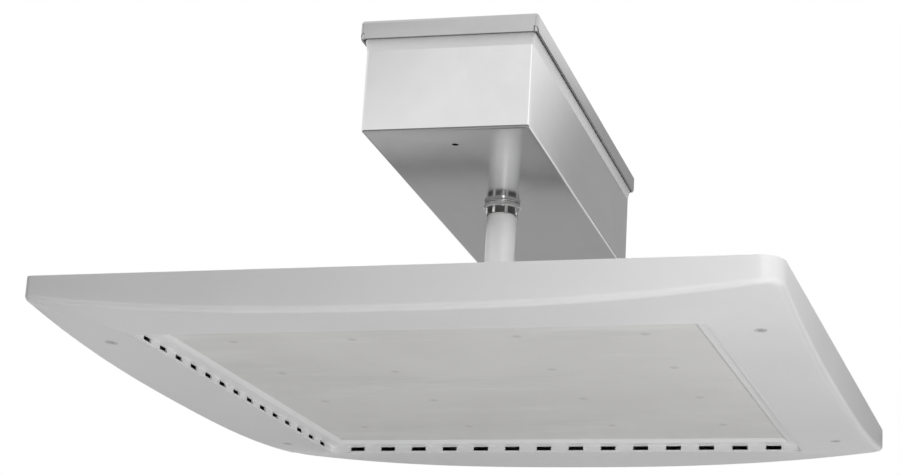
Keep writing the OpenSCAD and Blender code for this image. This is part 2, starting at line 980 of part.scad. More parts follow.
// Hat-shaped bracket that lifts the driver over the nipple
module driver_bracket() {
    half = bracket_w / 2;
    color(satin_grey)
        on_box()
            difference() {
                rotate([90, 0, 0])
                    linear_extrude(bracket_l, center = true)
                        polygon([
                            [-half - bracket_foot, box_floor],
                            [-half + bracket_t, box_floor],
                            [-half + bracket_t, driver_base - bracket_t],
                            [half - bracket_t, driver_base - bracket_t],
                            [half - bracket_t, box_floor],
                            [half + bracket_foot, box_floor],
                            [half + bracket_foot, box_floor + bracket_t],
                            [half, box_floor + bracket_t],
                            [half, driver_base],
                            [-half, driver_base],
                            [-half, box_floor + bracket_t],
                            [-half - bracket_foot, box_floor + bracket_t]
                        ]);
                at_corners(bracket_foot_x, bracket_screw_y)
                    translate([0, 0, box_floor])
                        through(screw_r, bracket_t);
                driver_screw_places()
                    translate([0, 0, driver_base - bracket_t])
                        through(screw_r, bracket_t);
                translate([0, -box_shift, driver_base - bracket_t])
                    through(bracket_hole_r, bracket_t);
            }
}

// Stud pressed blind into the box's floor, with a nut on what it holds
module stud_nut(grip) {
    translate([0, 0, box_floor])
        cylinder(r = screw_r - shank_play, h = grip + stud_nut_h + 1.5);
    translate([0, 0, box_floor + grip])
        cylinder(r = 3.9, h = stud_nut_h, $fn = 6);
}

module bracket_nuts() {
    color(zinc)
        on_box()
            at_corners(bracket_foot_x, bracket_screw_y)
                stud_nut(bracket_t);
}

// Potted LED driver: ribbed case with ears at both ends
module driver() {
    half = driver_w / 2;
    edge = 3;
    groove_r = 1.4;
    side_step = driver_h / 6;
    top_step = driver_w / 9;
    color([0.20, 0.21, 0.22])
        on_box()
            translate([0, 0, driver_base])
                difference() {
                    union() {
                        rotate([90, 0, 0])
                            linear_extrude(driver_core, center = true)
                                polygon([
                                    [-half, 0],
                                    [half, 0],
                                    [half, driver_h - edge],
                                    [half - edge, driver_h],
                                    [-half + edge, driver_h],
                                    [-half, driver_h - edge]
                                ]);
                        translate([-half, -driver_l / 2, 0])
                            cube([driver_w, driver_l, ear_t]);
                    }
                    for (x = [-1, 1], z = [1:4])
                        translate([x * half, 0, z * side_step + edge])
                            driver_groove(groove_r);
                    for (i = [-3:3])
                        translate([i * top_step, 0, driver_h])
                            driver_groove(groove_r);
                    driver_screw_places()
                        through(screw_r + 0.2, ear_t);
                }
}

// Round groove along the whole case
module driver_groove(r) {
    rotate([90, 0, 0])
        cylinder(r = r, h = driver_core + 1, center = true, $fn = 24);
}

module driver_screw_places() {
    at_corners(driver_w / 2 - 12, driver_l / 2 - ear_l / 2)
        children();
}

module driver_screws() {
    color(zinc)
        on_box()
            translate([0, 0, driver_base + ear_t])
                driver_screw_places()
                    pan_screw(3, 2, screw_r, ear_t + bracket_t + 2);
}

// Potted surge protector on the floor at the near end, beside the fixing hole
module surge_protector() {
    ear_x = surge_w + 2 * surge_ear;
    color([0.72, 0.16, 0.12])
        on_box()
            translate([side_x, surge_y, box_floor])
                difference() {
                    union() {
                        linear_extrude(surge_h)
                            round_square(surge_w, surge_l, 3);
                        translate([-ear_x / 2, -surge_ear, 0])
                            cube([ear_x, 2 * surge_ear, surge_ear_t]);
                    }
                    for (x = [-1, 1])
                        translate([x * surge_ear_x, 0, 0])
                            through(screw_r, surge_ear_t);
                }
}

module surge_nuts() {
    color(zinc)
        on_box()
            for (x = [-1, 1])
                translate([side_x + x * surge_ear_x, surge_y, 0])
                    stud_nut(surge_ear_t);
}

// The terminal block's own place: on the floor at the far end, beside the fixing hole
module on_block() {
    on_box()
        translate([-side_x, block_y, box_floor])
            children();
}

module pole_places() {
    for (i = [0:block_poles - 1])
        translate([(i - (block_poles - 1) / 2) * pole_pitch, 0, pole_z])
            children();
}

// Terminal block for the supply wires
module terminal_block() {
    screw_hole_r = 2.3;
    color([0.90, 0.90, 0.86])
        on_block()
            difference() {
                translate([-block_l / 2, -block_w / 2, 0])
                    cube([block_l, block_w, block_h]);
                pole_places() {
                    translate([-pole_w / 2, -block_w / 2 - 1, 0])
                        cube([pole_w, block_w + 2, clamp_h + 0.2]);
                    cylinder(r = screw_hole_r, h = block_h);
                }
                for (x = [-1, 1])
                    translate([x * block_hole_x, 0, 0])
                        through(screw_r, block_h);
            }
}

// Brass clamps with their screws inside the terminal block
module terminal_clamps() {
    clamp_w = pole_w - 0.2;
    clamp_l = 10;
    wire_r = 1.7;
    color([0.80, 0.66, 0.32])
        on_block()
            pole_places() {
                difference() {
                    translate([-clamp_w / 2, -clamp_l / 2, 0])
                        cube([clamp_w, clamp_l, clamp_h]);
                    translate([0, 0, clamp_h / 2])
                        rotate([-90, 0, 0])
                            cylinder(r = wire_r, h = clamp_l + 2, center = true);
                }
                translate([0, 0, clamp_h - eps])
                    cylinder(r = 2, h = 3);
            }
}

module terminal_nuts() {
    color(zinc)
        on_box()
            for (x = [-1, 1])
                translate([x * block_hole_x - side_x, block_y, 0])
                    stud_nut(block_h);
}

// Green grounding screw in the floor
module ground_screw() {
    collar_h = 2.5;
    slot = [8, 1, 2];
    color([0.16, 0.52, 0.24])
        on_box()
            translate([side_x, block_y, box_floor])
                difference() {
                    union() {
                        cylinder(r = 5, h = collar_h, $fn = 6);
                        translate([0, 0, collar_h - eps])
                            cylinder(r = 3.4, h = 1.5);
                    }
                    translate([-slot.x / 2, -slot.y / 2, collar_h + 0.5])
                        cube(slot);
                }
}

// Lid with turned-down flanges that stand off the box's walls
module box_lid() {
    flange_z = lid_top - lid_flange;
    seam_w = 0.4;
    seam_x = lid_w / 2 - sheet_t - seam_w / 2;
    cut = lid_chamfer * sqrt(2);
    color(satin_grey)
        on_box()
            difference() {
                translate([0, 0, lid_top])
                    mirror([0, 0, 1])
                        folded_block(lid_w, lid_l, lid_flange, bend_r);
                translate([0, 0, flange_z - 1])
                    linear_extrude(lid_flange - sheet_t + 1)
                        round_square(lid_w - 2 * sheet_t, lid_l - 2 * sheet_t, bend_inner);
                at_corners(lid_w / 2, lid_l / 2)
                    translate([0, 0, flange_z])
                        rotate([45, 0, 0])
                            cube([4 * sheet_t, cut, cut], center = true);
                at_corners(seam_x, lid_l / 2)
                    translate([-seam_w / 2, -sheet_t - 1, flange_z - 1])
                        cube([seam_w, sheet_t + 2, lid_flange + 1 - bend_r]);
                at_corners(lid_screw_x, lid_screw_y)
                    translate([0, 0, lid_under])
                        through(screw_r + 0.2, sheet_t);
            }
}

module lid_gasket() {
    edge = 1.5;
    band = box_flange_w - 2.5;
    color(foam_black)
        on_box()
            translate([0, 0, box_top])
                difference() {
                    square_ring(box_w - 2 * edge, box_l - 2 * edge, 2, band, lid_gasket_t);
                    at_corners(lid_screw_x, lid_screw_y)
                        through(screw_r + 0.4, lid_gasket_t);
                }
}

module lid_screws() {
    color(zinc)
        on_box()
            at_corners(lid_screw_x, lid_screw_y)
                translate([0, 0, lid_top])
                    pan_screw(3.8, 2.4, screw_r, sheet_t + lid_gasket_t + sheet_t + 2);
}

head_cover();
cover_screws();
cover_posts();
lens_frame();
lens();
lens_gasket();
frame_screws();
heat_sink();
led_board_1();
led_board_2();
led_board_3();
led_board_4();
led_chips();
board_screws();
head_connector();
back_plate();
sink_screws();
canopy_gasket();
hub_gasket();
hub();
hub_screws();
nipple();
hub_locknut();
sealing_washer();
lower_locknut();
upper_locknut();
bushing();
box_body();
driver_bracket();
bracket_nuts();
driver();
driver_screws();
surge_protector();
surge_nuts();
terminal_block();
terminal_clamps();
terminal_nuts();
ground_screw();
box_lid();
lid_gasket();
lid_screws();
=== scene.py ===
"""Square canopy light: white lamp head, pipe nipple and grey wiring box, dressed over the solid model."""

import json
import math

import bmesh
import bpy
from mathutils import Matrix, Vector


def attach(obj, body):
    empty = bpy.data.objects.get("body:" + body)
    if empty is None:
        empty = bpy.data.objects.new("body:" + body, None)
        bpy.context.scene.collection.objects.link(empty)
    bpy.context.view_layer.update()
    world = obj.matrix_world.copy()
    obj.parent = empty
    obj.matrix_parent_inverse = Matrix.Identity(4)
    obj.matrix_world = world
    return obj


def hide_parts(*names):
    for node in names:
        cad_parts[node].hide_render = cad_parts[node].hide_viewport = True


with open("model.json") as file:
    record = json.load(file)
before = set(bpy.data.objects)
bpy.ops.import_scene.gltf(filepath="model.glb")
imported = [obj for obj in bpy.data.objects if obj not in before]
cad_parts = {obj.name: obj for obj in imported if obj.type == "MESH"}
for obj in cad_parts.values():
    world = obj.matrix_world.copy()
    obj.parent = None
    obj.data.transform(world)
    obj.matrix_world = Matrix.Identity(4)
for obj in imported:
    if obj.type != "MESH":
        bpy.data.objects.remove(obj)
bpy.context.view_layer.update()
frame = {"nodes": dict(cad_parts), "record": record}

MM = 0.001

# Head, in metres from the nipple's axis and down from the rim plane
HEAD_HALF = 240 * MM
# Radius of each corner of the cover, by the signs of its x and y
HEAD_CORNERS = {(-1, -1): 5 * MM, (1, -1): 15 * MM, (1, 1): 7 * MM, (-1, 1): 12 * MM}
# Radius of the solid model's corners, by which the cover screws are placed
SOLID_CORNER = 12 * MM
MOUTH_HALF = 188.15 * MM
MOUTH_CORNER = 6.15 * MM
EDGE_DEPTH = 28 * MM
EDGE_RISE = 13 * MM
EDGE_CURVE = 2.5
EDGE_R = 4 * MM
MOUTH_DEPTH = 26 * MM
COVER_T = 1.5 * MM
FLANGE_HALF = 216 * MM
FLANGE_CORNER = 3 * MM
COVER_SCREW = Vector((214.5, 160.5)) * MM
COVER_SCREW_R = 4 * MM
SCREW_GAP = 0.1 * MM
SCREW_HOLE_R = 2.1 * MM
# Heights over the cover's outer face where the cut for a screw starts, narrows, turns straight and ends
SINK_HEIGHTS = (-3 * MM, 0.3 * MM, 1.8 * MM, 5 * MM)
# Places of the board screws behind the lens, and how far off them the painted shadows of their heads show on
# the lens from below
BOARD_SCREW_X = (55.25, 138.25)
BOARD_SCREW_Y = (43.5, 131.5)
SCREW_SHADOW_SHIFT = 5 * MM
SCREW_SHADOW_R = 1.2 * MM
SCREW_SHADOW_FADE_R = 4.6 * MM
SCREW_SHADOW_STRENGTH = 0.38
# Steps round the cover's lower edge and across its flat band
EDGE_STEPS = 12
BAND_STEPS = 8

# Nipple
PIPE_R = 10.65 * MM
PIPE_BORE = 7.9 * MM
PIPE_LOW = -3 * MM
PIPE_TOP = 131.5 * MM
PIPE_CHAMFER = 0.8 * MM
THREAD_PITCH = 1.814 * MM
THREAD_DEPTH = 0.9 * MM
# Half widths of the ridge's foot and crest, as shares of the pitch
THREAD_FOOT = 0.47
THREAD_CREST = 0.07
THREAD_SINK = 0.1 * MM
CREST_GAP = 0.04 * MM
THREAD_STEPS = 40
THREAD_LOW_END = 21.5 * MM
THREAD_HIGH_START = 104.5 * MM
PAINT_GAP = 0.02 * MM
BARREL_INSET = 0.3 * MM
LATHE_STEPS = 72
# Skirt of the locknut under the box: its top, and the radius that its wall stays within; the wall inside
# these is painted dark for shade
SKIRT_TOP = 110.3 * MM
SKIRT_WALL_R = 11.3 * MM

# Wiring box
BOX_TURN = math.radians(2.2)
BOX_SHIFT = 5.5 * MM
BOX_HALF = Vector((56.5, 166.0)) * MM
BEND_R = 2.5 * MM
LID_EDGE_Z = 178.5 * MM
# Section of the box's rim: out from the wall and up from the lid's lower edge, in millimetres
RIM_SECTION = (
    (-0.05, -8.0), (0.25, -5.6), (0.7, -3.3), (1.2, -1.3), (1.6, 0.0),
    (1.8, 1.0), (1.8, 5.0), (1.4, 6.0), (-0.2, 6.0),
)
# Weld in each corner of the lid: how far out from the box's corner it stands, its radius and its two heights
WELD_OUT = 1.8 * MM
WELD_R = 1.3 * MM
WELD_LOW = 178.7 * MM
WELD_HIGH = 189.0 * MM
BOX_PLACE = Matrix.Rotation(BOX_TURN, 4, "Z") @ Matrix.Translation((0, BOX_SHIFT, 0))

# Gaps under which points are merged: in a made piece and in a copy of a node
MERGE_GAP = 0.002 * MM
COPY_MERGE_GAP = 0.001 * MM
# Faces that meet at less than the first angle are one, and edges sharper than the second get rounded
FLAT_ANGLE = math.radians(0.5)
ROUND_ANGLE = math.radians(28)
ROUND_SEGMENTS = 2

# Stage
FLOOR_HALF = 9.0
FLOOR_Z = -1.70
FLOOR_GLOW = 0.50
CAMERA_PLACE = Vector((443.833, -1466.972, -368.576)) * MM
CAMERA_TURN = math.radians(-18.175)
CAMERA_PITCH = math.radians(16.587)
CAMERA_ROLL = math.radians(3.468)
LENS_LENGTH = 90.311
SENSOR_WIDTH = 36.0

FLOAT, VECTOR, COLOUR = "NodeSocketFloat", "NodeSocketVector", "NodeSocketColor"


def group_with(name, inputs, outputs):
    """An empty shader group with its sockets, and its input and output nodes."""
    group = bpy.data.node_groups.new(name, "ShaderNodeTree")
    for label, kind, value in inputs:
        socket = group.interface.new_socket(label, in_out="INPUT", socket_type=kind)
        if value is not None:
            socket.default_value = value
    for label, kind in outputs:
        group.interface.new_socket(label, in_out="OUTPUT", socket_type=kind)
    return group, group.nodes.new("NodeGroupInput"), group.nodes.new("NodeGroupOutput")


def node_in(tree, kind, **settings):
    """A new node with its settings."""
    node = tree.nodes.new(kind)
    for key, value in settings.items():
        setattr(node, key, value)
    return node


def math_in(tree, operation, a, b=None, clamp=False):
    """A Math node fed by sockets or plain numbers; gives its output socket."""
    node = node_in(tree, "ShaderNodeMath", operation=operation, use_clamp=clamp)
    for slot, value in enumerate((a, b)):
        if isinstance(value, bpy.types.NodeSocket):
            tree.links.new(value, node.inputs[slot])
        elif value is not None:
            node.inputs[slot].default_value = value
    return node.outputs[0]


def noise_in(tree, vector, scale, detail, rough):
    """A Noise node on a vector, with its scale from a socket or a number; gives its output socket."""
    noise = node_in(tree, "ShaderNodeTexNoise")
    noise.inputs["Detail"].default_value = detail
    noise.inputs["Roughness"].default_value = rough
    tree.links.new(vector, noise.inputs["Vector"])
    if isinstance(scale, bpy.types.NodeSocket):
        tree.links.new(scale, noise.inputs["Scale"])
    else:
        noise.inputs["Scale"].default_value = scale
    return noise.outputs["Fac"]


def mapped(tree, value, low, high, to_low=0.0, to_high=1.0):
    """A smooth step from to_low at low to to_high at high."""
    node = node_in(tree, "ShaderNodeMapRange", interpolation_type="SMOOTHSTEP")
    tree.links.new(value, node.inputs["Value"])
    for label, number in (("From Min", low), ("From Max", high), ("To Min", to_low), ("To Max", to_high)):
        if isinstance(number, bpy.types.NodeSocket):
            tree.links.new(number, node.inputs[label])
        else:
            node.inputs[label].default_value = number
    return node.outputs["Result"]


def make_cloudy_tone():
    """Base colour that drifts a little between two tones, as paint and sheet metal do."""
    group, ins, outs = group_with(
        "cloudy_tone",
        [
            ("Vector", VECTOR, None), ("Light", COLOUR, (1, 1, 1, 1)),
            ("Dark", COLOUR, (0.5, 0.5, 0.5, 1)), ("Scale", FLOAT, 9.0),
        ],
        [("Color", COLOUR), ("Mask", FLOAT)],
    )
    cloud = noise_in(group, ins.outputs["Vector"], ins.outputs["Scale"], detail=4.0, rough=0.6)
    mask = mapped(group, cloud, low=0.3, high=0.7)
    mix = node_in(group, "ShaderNodeMix", data_type="RGBA")
    group.links.new(mask, mix.inputs["Factor"])
    group.links.new(ins.outputs["Dark"], mix.inputs["A"])
    group.links.new(ins.outputs["Light"], mix.inputs["B"])
    group.links.new(mix.outputs["Result"], outs.inputs["Color"])
    group.links.new(mask, outs.inputs["Mask"])
    return group


def make_fine_skin():
    """Height of a fine skin, such as orange peel or cast grain, and a roughness that drifts with it."""
    group, ins, outs = group_with(
        "fine_skin",
        [
            ("Vector", VECTOR, None), ("Scale", FLOAT, 900.0),
            ("Roughness", FLOAT, 0.4), ("Spread", FLOAT, 0.08),
        ],
        [("Height", FLOAT), ("Roughness", FLOAT)],
    )
    fine = noise_in(group, ins.outputs["Vector"], ins.outputs["Scale"], detail=2.0, rough=0.5)
    broad = noise_in(group, ins.outputs["Vector"], 14.0, detail=3.0, rough=0.6)
    swing = math_in(group, "MULTIPLY", math_in(group, "SUBTRACT", broad, 0.5), ins.outputs["Spread"])
    group.links.new(fine, outs.inputs["Height"])
    rough = math_in(group, "ADD", ins.outputs["Roughness"], swing, clamp=True)
    group.links.new(rough, outs.inputs["Roughness"])
    return group


def make_rolled_grain():
    """Long fine streaks that run along one axis, as on rolled or brushed sheet."""
    group, ins, outs = group_with(
        "rolled_grain",
        [
            ("Vector", VECTOR, None), ("Across", FLOAT, 900.0),
            ("Roughness", FLOAT, 0.35), ("Spread", FLOAT, 0.1),
        ],
        [("Height", FLOAT), ("Roughness", FLOAT), ("Streak", FLOAT)],
    )
    stretch = node_in(group, "ShaderNodeMapping", vector_type="POINT")
    stretch.inputs["Scale"].default_value = (1.0, 0.025, 1.0)
    group.links.new(ins.outputs["Vector"], stretch.inputs["Vector"])
    fine = noise_in(group, stretch.outputs["Vector"], ins.outputs["Across"], detail=3.0, rough=0.6)
    broad = noise_in(group, stretch.outputs["Vector"], 60.0, detail=2.0, rough=0.5)
    swing = math_in(group, "MULTIPLY", math_in(group, "SUBTRACT", fine, 0.5), ins.outputs["Spread"])
    group.links.new(fine, outs.inputs["Height"])
    rough = math_in(group, "ADD", ins.outputs["Roughness"], swing, clamp=True)
    group.links.new(rough, outs.inputs["Roughness"])
    group.links.new(broad, outs.inputs["Streak"])
    return group


def make_handling_marks():
    """Faint smudges and wiping streaks, 0 where clean and 1 where marked."""
    group, ins, outs = group_with(
        "handling_marks",
        [
            ("Vector", VECTOR, None), ("Scale", FLOAT, 12.0),
            ("Stretch", VECTOR, (1, 1, 1)), ("Cover", FLOAT, 0.55),
        ],
        [("Mask", FLOAT)],
    )
    stretch = node_in(group, "ShaderNodeVectorMath", operation="MULTIPLY")
    group.links.new(ins.outputs["Vector"], stretch.inputs[0])
    group.links.new(ins.outputs["Stretch"], stretch.inputs[1])
    cloud = noise_in(group, stretch.outputs["Vector"], ins.outputs["Scale"], detail=5.0, rough=0.65)
    top = math_in(group, "ADD", ins.outputs["Cover"], 0.16)
    group.links.new(mapped(group, cloud, ins.outputs["Cover"], top), outs.inputs["Mask"])
    return group


CLOUDY_TONE = make_cloudy_tone()
FINE_SKIN = make_fine_skin()
ROLLED_GRAIN = make_rolled_grain()
HANDLING_MARKS = make_handling_marks()


class Finish:
    """One material under construction: its tree, its Principled shader and helpers to place groups."""

    def __init__(self, name, metallic=0.0, **sockets):
        self.material = bpy.data.materials.new(name)
        self.material.use_nodes = True
        self.tree = self.material.node_tree
        self.shader = self.tree.nodes["Principled BSDF"]
        self.shader.inputs["Metallic"].default_value = metallic
        for label, value in sockets.items():
            self.shader.inputs[label.replace("_", " ")].default_value = value
        coords = self.tree.nodes.new("ShaderNodeTexCoord")
        self.place = self.tree.nodes.new("ShaderNodeMapping")
        self.tree.links.new(coords.outputs["Object"], self.place.inputs["Vector"])
        self.vector = self.place.outputs["Vector"]

    def turned(self, angle):
        """Turn the patterns about Z, to run along a turned piece."""
        self.place.inputs["Rotation"].default_value = (0, 0, -angle)
        return self

    def group(self, which, **values):
        """Place a shader group, with its inputs from sockets or plain values."""
        node = node_in(self.tree, "ShaderNodeGroup", node_tree=which)
        self.tree.links.new(self.vector, node.inputs["Vector"])
        for label, value in values.items():
            if isinstance(value, bpy.types.NodeSocket):
                self.tree.links.new(value, node.inputs[label])
            else:
                node.inputs[label].default_value = value
        return node

    def feed(self, socket, label):
        """Link a socket to the shader's named input."""
        self.tree.links.new(socket, self.shader.inputs[label])
        return self

    def bump(self, height, strength, distance):
        """Raise the surface by a height, in the shading alone."""
        node = node_in(self.tree, "ShaderNodeBump")
        node.inputs["Strength"].default_value = strength
        node.inputs["Distance"].default_value = distance
        self.tree.links.new(height, node.inputs["Height"])
        self.tree.links.new(node.outputs["Normal"], self.shader.inputs["Normal"])
        return self

    def mix(self, mask, a, b):
        """Colour a where the mask is 0 and b where it is 1."""
        node = node_in(self.tree, "ShaderNodeMix", data_type="RGBA")
        self.tree.links.new(mask, node.inputs["Factor"])
        for label, value in (("A", a), ("B", b)):
            if isinstance(value, bpy.types.NodeSocket):
                self.tree.links.new(value, node.inputs[label])
            else:
                node.inputs[label].default_value = value
        return node.outputs["Result"]


def rgba(r, g, b):
    return (r, g, b, 1.0)


def grey(v):
    return (v, v, v, 1.0)


def cloudy_skin(
    name, light, dark, scale, rough, spread, skin, strength, distance=0.1 * MM, metallic=0.0, **sockets
):
    """A finish of two near tones with a fine skin: paint, castings, moulded plastic, foam."""
    made = Finish(name, metallic, **sockets)
    tone = made.group(CLOUDY_TONE, Light=light, Dark=dark, Scale=scale)
    fine = made.group(FINE_SKIN, Scale=skin, Roughness=rough, Spread=spread)
    made.feed(tone.outputs["Color"], "Base Color")
    made.feed(fine.outputs["Roughness"], "Roughness")
    return made.bump(fine.outputs["Height"], strength, distance)


def rolled_sheet(name, light, dark, across, rough, spread, strength, turn=0.0):
    """Rolled sheet metal with its grain along Y after the turn."""
    made = Finish(name, metallic=1.0).turned(turn)
    grain = made.group(ROLLED_GRAIN, Across=across, Roughness=rough, Spread=spread)
    marks = made.group(HANDLING_MARKS, Scale=9.0, Cover=0.5)
    base = made.mix(grain.outputs["Streak"], dark, light)
    marked = made.mix(marks.outputs["Mask"], base, dark)
    made.feed(marked, "Base Color")
    made.feed(grain.outputs["Roughness"], "Roughness")
    return made.bump(grain.outputs["Height"], strength, distance=0.05 * MM)


white_powder = cloudy_skin(
    "white_powder_coat", light=grey(0.80), dark=grey(0.765), scale=7.0,
    rough=0.31, spread=0.06, skin=1500.0, strength=0.025,
)
frame_powder = cloudy_skin(
    "frame_powder_coat", light=grey(0.84), dark=grey(0.80), scale=7.0,
    rough=0.42, spread=0.08, skin=1500.0, strength=0.03,
)
box_sheet = rolled_sheet(
    "satin_box_sheet", light=grey(0.77), dark=grey(0.71), across=1400.0,
    rough=0.13, spread=0.07, strength=0.05, turn=BOX_TURN,
)
rim_sheet = rolled_sheet(
    "satin_rim_sheet", light=grey(0.80), dark=grey(0.76), across=1400.0,
    rough=0.50, spread=0.06, strength=0.03, turn=BOX_TURN,
)
lid_sheet = rolled_sheet(
    "satin_lid_sheet", light=grey(0.57), dark=grey(0.51), across=1400.0,
    rough=0.20, spread=0.08, strength=0.05, turn=BOX_TURN,
)
mill_sheet = rolled_sheet(
    "mill_aluminium", light=grey(0.64), dark=grey(0.56), across=1100.0,
    rough=0.42, spread=0.12, strength=0.08,
)
# Painted shade: the back plate is a darker copy of the mill aluminium, so its reflection in the box's
# underside reads darker
back_sheet = rolled_sheet(
    "back_sheet_painted_shade", light=grey(0.50), dark=grey(0.44), across=1100.0,
    rough=0.42, spread=0.12, strength=0.08,
)
zinc = cloudy_skin(
    "bright_zinc", light=rgba(0.72, 0.72, 0.70), dark=rgba(0.58, 0.59, 0.58), scale=120.0,
    rough=0.22, spread=0.18, skin=2600.0, strength=0.06, metallic=1.0,
)
bright_plate = cloudy_skin(
    "bright_plate", light=rgba(0.90, 0.90, 0.89), dark=rgba(0.80, 0.80, 0.79), scale=90.0,
    rough=0.12, spread=0.08, skin=2600.0, strength=0.03, metallic=0.6,
)
# Painted shade: near-black metal for the locknut's wall between its lugs, where shade falls
thread_painted_shade = cloudy_skin(
    "thread_painted_shade", light=grey(0.16), dark=grey(0.10), scale=160.0,
    rough=0.35, spread=0.12, skin=2600.0, strength=0.08, metallic=0.8,
)
washer_steel = cloudy_skin(
    "washer_steel", light=grey(0.88), dark=grey(0.78), scale=90.0,
    rough=0.22, spread=0.10, skin=2600.0, strength=0.05, metallic=0.4,
)
screw_paint = cloudy_skin(
    "screw_paint", light=grey(0.60), dark=grey(0.54), scale=60.0,
    rough=0.42, spread=0.08, skin=1800.0, strength=0.08,
)
pipe_paint = cloudy_skin(
    "pipe_grey_paint", light=grey(0.94), dark=grey(0.90), scale=30.0,
    rough=0.34, spread=0.12, skin=1800.0, strength=0.06, Coat_Weight=0.6, Specular_IOR_Level=0.9,
)
black_foam = cloudy_skin(
    "black_foam", light=grey(0.030), dark=grey(0.016), scale=60.0,
    rough=0.92, spread=0.06, skin=2400.0, strength=0.6, distance=0.4 * MM,
)
grey_foam = cloudy_skin(
    "grey_foam", light=grey(0.46), dark=grey(0.36), scale=60.0,
    rough=0.85, spread=0.06, skin=2400.0, strength=0.5, distance=0.4 * MM,
)
board_mask = cloudy_skin(
    "board_white_mask", light=grey(0.80), dark=grey(0.74), scale=22.0,
    rough=0.34, spread=0.1, skin=2200.0, strength=0.05,
)
phosphor = cloudy_skin(
    "led_phosphor", light=rgba(0.86, 0.66, 0.14), dark=rgba(0.78, 0.56, 0.09), scale=300.0,
    rough=0.3, spread=0.1, skin=3000.0, strength=0.08,
)
ivory_plastic = cloudy_skin(
    "ivory_plastic", light=rgba(0.78, 0.76, 0.68), dark=rgba(0.72, 0.70, 0.62), scale=40.0,
    rough=0.42, spread=0.08, skin=2600.0, strength=0.12,
)
blue_plastic = cloudy_skin(
    "blue_plastic", light=rgba(0.04, 0.11, 0.40), dark=rgba(0.03, 0.08, 0.32), scale=60.0,
    rough=0.4, spread=0.08, skin=2600.0, strength=0.12,
)
driver_case = cloudy_skin(
    "driver_case", light=grey(0.075), dark=grey(0.055), scale=26.0,
    rough=0.5, spread=0.1, skin=2200.0, strength=0.25, distance=0.15 * MM,
)
red_plastic = cloudy_skin(
    "red_plastic", light=rgba(0.44, 0.028, 0.02), dark=rgba(0.36, 0.02, 0.015), scale=40.0,
    rough=0.4, spread=0.08, skin=2400.0, strength=0.12,
)
green_screw = cloudy_skin(
    "green_screw", light=rgba(0.025, 0.24, 0.06), dark=rgba(0.02, 0.18, 0.05), scale=90.0,
    rough=0.32, spread=0.1, skin=2600.0, strength=0.1, metallic=0.35,
)
brass = cloudy_skin(
    "brass", light=rgba(0.72, 0.50, 0.20), dark=rgba(0.60, 0.40, 0.15), scale=90.0,
    rough=0.28, spread=0.14, skin=2600.0, strength=0.08, metallic=1.0,
)


def make_frosted_lens():
    """Frosted lens: pale, faintly warm, with faint lighter and darker streaks, and painted shadows where the
    board screws' heads stand behind it.
    """
    made = Finish("frosted_lens", Coat_Weight=0.0)
    tree = made.tree
    marks = made.group(HANDLING_MARKS, Scale=16.0, Stretch=(0.35, 1.6, 1.0), Cover=0.5)
    clouds = made.group(CLOUDY_TONE, Light=rgba(0.755, 0.75, 0.735), Dark=rgba(0.70, 0.695, 0.68), Scale=8.0)
    # Faint darker and lighter streaks over the lens
    dark_streaks = made.group(HANDLING_MARKS, Scale=7.0, Stretch=(0.5, 2.2, 1.0), Cover=0.52)
    dark_streak_part = math_in(tree, "MULTIPLY", dark_streaks.outputs["Mask"], 0.55)
    dark_streaked = made.mix(dark_streak_part, clouds.outputs["Color"], rgba(0.62, 0.62, 0.63))
    light_streak_part = math_in(tree, "MULTIPLY", marks.outputs["Mask"], 0.4)
    light_streaked = made.mix(light_streak_part, dark_streaked, grey(0.84))
    seen_from_below = node_in(tree, "ShaderNodeVectorMath", operation="ADD")
    seen_from_below.inputs[1].default_value = (0.0, SCREW_SHADOW_SHIFT, 0.0)
    tree.links.new(made.vector, seen_from_below.inputs[0])
    split = node_in(tree, "ShaderNodeSeparateXYZ")
    tree.links.new(seen_from_below.outputs["Vector"], split.inputs["Vector"])
    gaps = []
    for axis, places in (("X", BOARD_SCREW_X), ("Y", BOARD_SCREW_Y)):
        side = math_in(tree, "ABSOLUTE", split.outputs[axis])
        offsets = [math_in(tree, "SUBTRACT", side, place * MM) for place in places]
        near, far = (math_in(tree, "ABSOLUTE", offset) for offset in offsets)
        gaps.append(math_in(tree, "POWER", math_in(tree, "MINIMUM", near, far), 2.0))
    away = math_in(tree, "SQRT", math_in(tree, "ADD", *gaps))
    # Painted shadows of the board screws' heads: the lens is darker near each of them
    screw_shadow = mapped(tree, away, SCREW_SHADOW_R, SCREW_SHADOW_FADE_R, SCREW_SHADOW_STRENGTH, 0.0)
    made.feed(made.mix(screw_shadow, light_streaked, rgba(0.38, 0.37, 0.36)), "Base Color")
    fine = made.group(FINE_SKIN, Scale=2600.0, Roughness=0.42, Spread=0.12)
    made.feed(fine.outputs["Roughness"], "Roughness")
    return made.bump(fine.outputs["Height"], strength=0.08, distance=0.1 * MM)


frosted = make_frosted_lens()

FINISH_OF = {
    "lens_frame": frame_powder, "lens": frosted, "lens_gasket": black_foam, "frame_screws": zinc,
    "heat_sink": mill_sheet, "led_board_1": board_mask, "led_board_2": board_mask, "led_board_3": board_mask,
    "led_board_4": board_mask, "led_chips": phosphor, "board_screws": zinc, "head_connector": ivory_plastic,
    "back_plate": back_sheet, "sink_screws": zinc, "canopy_gasket": black_foam, "hub_gasket": black_foam,
    "hub": zinc, "hub_screws": zinc, "nipple": pipe_paint, "hub_locknut": zinc,
    "sealing_washer": washer_steel, "lower_locknut": bright_plate, "upper_locknut": zinc,
    "bushing": blue_plastic, "box_body": box_sheet, "driver_bracket": box_sheet, "bracket_nuts": zinc,
    "driver": driver_case, "driver_screws": zinc, "surge_protector": red_plastic, "surge_nuts": zinc,
    "terminal_block": ivory_plastic, "terminal_clamps": brass, "terminal_nuts": zinc,
    "ground_screw": green_screw, "box_lid": lid_sheet, "lid_gasket": grey_foam, "lid_screws": zinc,
    "head_cover": white_powder, "cover_screws": screw_paint, "cover_posts": mill_sheet,
}
